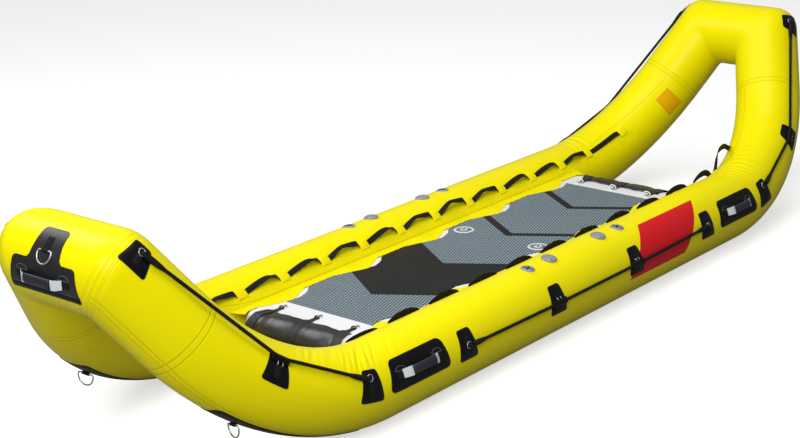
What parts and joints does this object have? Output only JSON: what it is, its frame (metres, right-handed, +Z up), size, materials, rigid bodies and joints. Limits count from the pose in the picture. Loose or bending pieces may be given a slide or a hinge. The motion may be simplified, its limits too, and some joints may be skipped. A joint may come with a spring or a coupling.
{
  "type": "inflatable rescue boat",
  "caption": "Inflatable inshore rescue boat with raised open ends, side tubes, flat padded deck, grab lines, carry handles and towing rings.",
  "frame": {"origin": "centre of the boat in plan, on the floor that its side tubes rest on", "axes": "+X to the bow, +Y to port, +Z up"},
  "size_m": [4.7694, 1.2686, 0.926],
  "materials": {
    "tube_yellow": "satin coated fabric",
    "floor_white": "satin coated fabric",
    "deck_slate": "matte dimpled foam",
    "deck_black": "matte dimpled foam",
    "cover_black": "glossy coated fabric",
    "webbing_black": "woven",
    "patch_black": "satin coated fabric",
    "steel": "polished stainless",
    "valve_clear": "satin",
    "valve_grey": "satin"
  },
  "bodies": {
    "boat": {"air_valve_bow_port": "valve_grey", "air_valve_bow_starboard": "valve_grey", "air_valve_stern_port": "valve_grey", "air_valve_stern_starboard": "valve_grey", "carry_handle_bow": "patch_black", "carry_handle_bow_port": "patch_black", "carry_handle_bow_starboard": "patch_black", "carry_handle_stern": "patch_black", "carry_handle_stern_port": "patch_black", "carry_handle_stern_starboard": "patch_black", "cross_tube_bow": "tube_yellow", "cross_tube_stern": "tube_yellow", "end_cover_bow": "cover_black", "end_cover_stern": "cover_black", "floor_flap_port": "tube_yellow", "floor_flap_starboard": "tube_yellow", "floor_panel": "floor_white", "floor_valve_port": "valve_clear", "floor_valve_starboard": "valve_clear", "grab_line_bow_port": "webbing_black", "grab_line_bow_starboard": "webbing_black", "grab_line_middle_port": "webbing_black", "grab_line_middle_starboard": "webbing_black", "grab_line_stern_port": "webbing_black", "grab_line_stern_starboard": "webbing_black", "grab_webbing_port": "webbing_black", "grab_webbing_starboard": "webbing_black", "pad_aft": "deck_slate", "pad_bow": "deck_slate", "pad_chevron": "deck_black", "pad_middle": "deck_slate", "pad_stern": "deck_slate", "pad_stripe_aft": "deck_black", "pad_stripe_fore": "deck_black", "relief_valve_bow_port": "valve_grey", "relief_valve_bow_starboard": "valve_grey", "relief_valve_stern_port": "valve_grey", "relief_valve_stern_starboard": "valve_grey", "rise_tube_bow_port": "tube_yellow", "rise_tube_bow_starboard": "tube_yellow", "rise_tube_stern_port": "tube_yellow", "rise_tube_stern_starboard": "tube_yellow", "side_tube_port": "tube_yellow", "side_tube_starboard": "tube_yellow", "wear_patch_bow_port": "patch_black", "wear_patch_bow_starboard": "patch_black", "wear_patch_stern_port": "patch_black", "wear_patch_stern_starboard": "patch_black"},
    "bow_ring": {"d_ring_bow": "steel"},
    "bow_port_ring": {"d_ring_bow_port": "steel"},
    "bow_starboard_ring": {"d_ring_bow_starboard": "steel"},
    "stern_ring": {"d_ring_stern": "steel"},
    "stern_port_ring": {"d_ring_stern_port": "steel"},
    "stern_starboard_ring": {"d_ring_stern_starboard": "steel"}
  },
  "joints": [
    {"name": "bow_ring_hinge", "type": "hinge", "parent": "boat", "child": "bow_ring", "pos_m": [2.33268, 0, 0.85715], "axis": [0, -1, 0], "range_deg": [0, 180]},
    {"name": "stern_ring_hinge", "type": "hinge", "parent": "boat", "child": "stern_ring", "pos_m": [-2.33268, 0, 0.85715], "axis": [0, 1, 0], "range_deg": [0, 180]},
    {"name": "bow_port_ring_hinge", "type": "hinge", "parent": "boat", "child": "bow_port_ring", "pos_m": [1.90204, 0.3773, 0.18644], "axis": [-0.2084, -0.9678, -0.1409], "range_deg": [-55, 120]},
    {"name": "bow_starboard_ring_hinge", "type": "hinge", "parent": "boat", "child": "bow_starboard_ring", "pos_m": [1.90204, -0.3773, 0.18644], "axis": [0.2084, -0.9678, 0.1409], "range_deg": [-55, 120]},
    {"name": "stern_port_ring_hinge", "type": "hinge", "parent": "boat", "child": "stern_port_ring", "pos_m": [-1.90204, 0.3773, 0.18644], "axis": [-0.2084, 0.9678, 0.1409], "range_deg": [-55, 120]},
    {"name": "stern_starboard_ring_hinge", "type": "hinge", "parent": "boat", "child": "stern_starboard_ring", "pos_m": [-1.90204, -0.3773, 0.18644], "axis": [0.2084, 0.9678, -0.1409], "range_deg": [-55, 120]}
  ]
}
